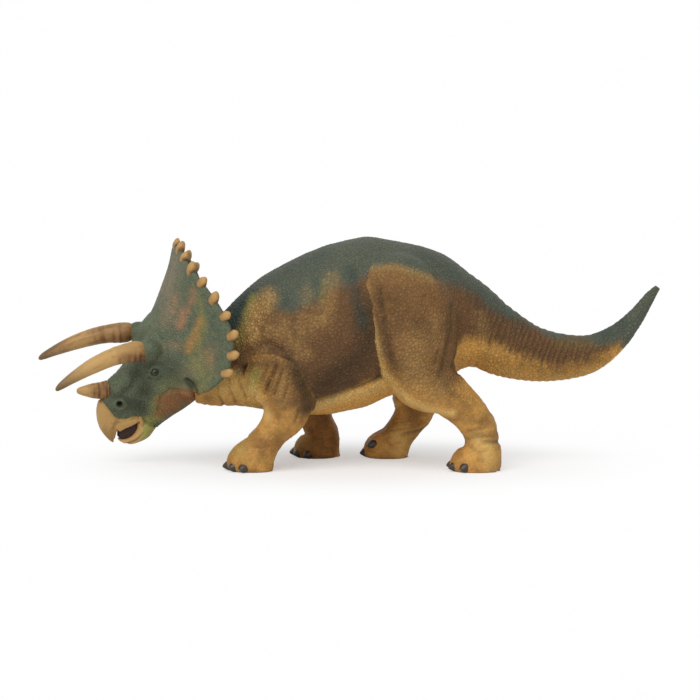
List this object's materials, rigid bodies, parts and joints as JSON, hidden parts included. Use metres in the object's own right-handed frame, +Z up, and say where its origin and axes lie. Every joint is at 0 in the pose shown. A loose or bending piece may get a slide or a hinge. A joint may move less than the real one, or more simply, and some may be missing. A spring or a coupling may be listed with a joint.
{
  "type": "toy dinosaur figure",
  "caption": "Hand-painted moulded figure of a walking horned dinosaur with lowered head, open beak, knobbed neck frill and raised tail.",
  "frame": {"origin": "under the middle of the figure's box, on the ground that its four soles stand on", "axes": "+X from the beak to the tail, -Y is the animal's left side, +Z up"},
  "size_m": [0.197, 0.0568, 0.0722],
  "materials": {
    "trunk_hide": "scaly moulded hide, painted green on the back, brown on the flanks and ochre on the belly, satin",
    "head_hide": "scaly moulded hide, painted green with salmon, orange and tan patches, satin",
    "tail_hide": "scaly moulded hide, painted green above and orange-brown below, satin",
    "leg_hide": "wrinkled moulded hide, painted golden ochre and brown with dark claws, satin",
    "horn": "grooved horn, painted tan with brown streaks, satin",
    "beak_horn": "plated beak, painted tan with a dark red-brown mouth, satin"
  },
  "bodies": {
    "root": {"torso": "trunk_hide", "head": "head_hide", "lower_jaw": "beak_horn", "left_brow_horn": "horn", "right_brow_horn": "horn", "nose_horn": "horn", "tail": "tail_hide", "left_fore_leg": "leg_hide", "right_fore_leg": "leg_hide", "left_hind_leg": "leg_hide", "right_hind_leg": "leg_hide"}
  },
  "joints": []
}
